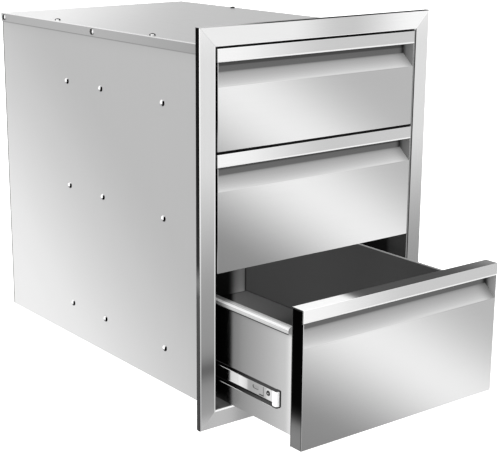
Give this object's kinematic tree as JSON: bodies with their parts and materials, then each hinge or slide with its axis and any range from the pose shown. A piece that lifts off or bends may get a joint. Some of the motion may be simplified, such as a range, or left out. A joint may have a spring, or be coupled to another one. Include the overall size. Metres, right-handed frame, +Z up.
{
  "type": "outdoor kitchen drawer unit",
  "caption": "Built-in drawer unit for an outdoor kitchen: riveted steel case behind a mitred trim frame, stacked drawers on ball slides with full-width finger pulls, the lowest standing open.",
  "frame": {"origin": "on the underside of the case, in the middle of its width, in the plane of the trim frame's back seat: the middle of the front edge of the sill that the unit stands on in its cut-out", "axes": "+X to the right of a person in front of the unit, +Y to the rear of the case (the drawers open along -Y), +Z up"},
  "size_m": [0.406, 0.76, 0.546],
  "materials": {
    "frame_sheet": "fine satin stainless steel, bright edges",
    "front_sheet": "polished stainless steel",
    "case_sheet": "satin stainless steel",
    "box_sheet": "satin stainless steel",
    "slide_rails": "bright plated steel",
    "ball_cages": "plain pressed steel",
    "rivets": "bright"
  },
  "bodies": {
    "case": {"case_left_side": "case_sheet", "case_right_side": "case_sheet", "case_lid": "case_sheet", "case_bottom": "case_sheet", "case_back": "case_sheet", "frame_left_stile": "frame_sheet", "frame_right_stile": "frame_sheet", "frame_top_rail": "frame_sheet", "frame_bottom_rail": "frame_sheet", "lid_top_rivet_left_front": "rivets", "lid_top_rivet_right_front": "rivets", "lid_top_rivet_left_rear": "rivets", "lid_top_rivet_right_rear": "rivets", "lid_edge_rivet_left_front": "rivets", "lid_edge_rivet_right_front": "rivets", "lid_edge_rivet_left_rear": "rivets", "lid_edge_rivet_right_rear": "rivets", "top_cabinet_rail_left": "slide_rails", "top_cabinet_rail_right": "slide_rails", "middle_cabinet_rail_left": "slide_rails", "middle_cabinet_rail_right": "slide_rails", "bottom_cabinet_rail_left": "slide_rails", "bottom_cabinet_rail_right": "slide_rails"},
    "top_drawer": {"top_front_panel": "front_sheet", "top_front_bar": "front_sheet", "top_front_backing": "box_sheet", "top_box_wall_left": "box_sheet", "top_box_wall_right": "box_sheet", "top_box_floor": "box_sheet", "top_box_back": "box_sheet", "top_drawer_rail_left": "slide_rails", "top_drawer_rail_right": "slide_rails"},
    "middle_drawer": {"middle_front_panel": "front_sheet", "middle_front_bar": "front_sheet", "middle_front_backing": "box_sheet", "middle_box_wall_left": "box_sheet", "middle_box_wall_right": "box_sheet", "middle_box_floor": "box_sheet", "middle_box_back": "box_sheet", "middle_drawer_rail_left": "slide_rails", "middle_drawer_rail_right": "slide_rails"},
    "bottom_drawer": {"bottom_front_panel": "front_sheet", "bottom_front_bar": "front_sheet", "bottom_front_backing": "box_sheet", "bottom_box_wall_left": "box_sheet", "bottom_box_wall_right": "box_sheet", "bottom_box_floor": "box_sheet", "bottom_box_back": "box_sheet", "bottom_drawer_rail_left": "slide_rails", "bottom_drawer_rail_right": "slide_rails"},
    "top_ball_cages": {"top_ball_cage_left": "ball_cages", "top_ball_cage_right": "ball_cages"},
    "middle_ball_cages": {"middle_ball_cage_left": "ball_cages", "middle_ball_cage_right": "ball_cages"},
    "bottom_ball_cages": {"bottom_ball_cage_left": "ball_cages", "bottom_ball_cage_right": "ball_cages"}
  },
  "joints": [
    {"name": "top_drawer_slide", "type": "slide", "parent": "case", "child": "top_drawer", "axis": [0, -1, 0], "range_m": [0, 0.37]},
    {"name": "middle_drawer_slide", "type": "slide", "parent": "case", "child": "middle_drawer", "axis": [0, -1, 0], "range_m": [0, 0.37]},
    {"name": "bottom_drawer_slide", "type": "slide", "parent": "case", "child": "bottom_drawer", "axis": [0, -1, 0], "range_m": [-0.176, 0.194]},
    {"name": "top_cage_slide", "type": "slide", "parent": "case", "child": "top_ball_cages", "axis": [0, -1, 0], "range_m": [0, 0.185]},
    {"name": "middle_cage_slide", "type": "slide", "parent": "case", "child": "middle_ball_cages", "axis": [0, -1, 0], "range_m": [0, 0.185]},
    {"name": "bottom_cage_slide", "type": "slide", "parent": "case", "child": "bottom_ball_cages", "axis": [0, -1, 0], "range_m": [-0.088, 0.097]}
  ],
  "couplings": [
    {"joint": "top_cage_slide", "follows": "top_drawer_slide", "ratio": 0.5},
    {"joint": "middle_cage_slide", "follows": "middle_drawer_slide", "ratio": 0.5},
    {"joint": "bottom_cage_slide", "follows": "bottom_drawer_slide", "ratio": 0.5}
  ]
}
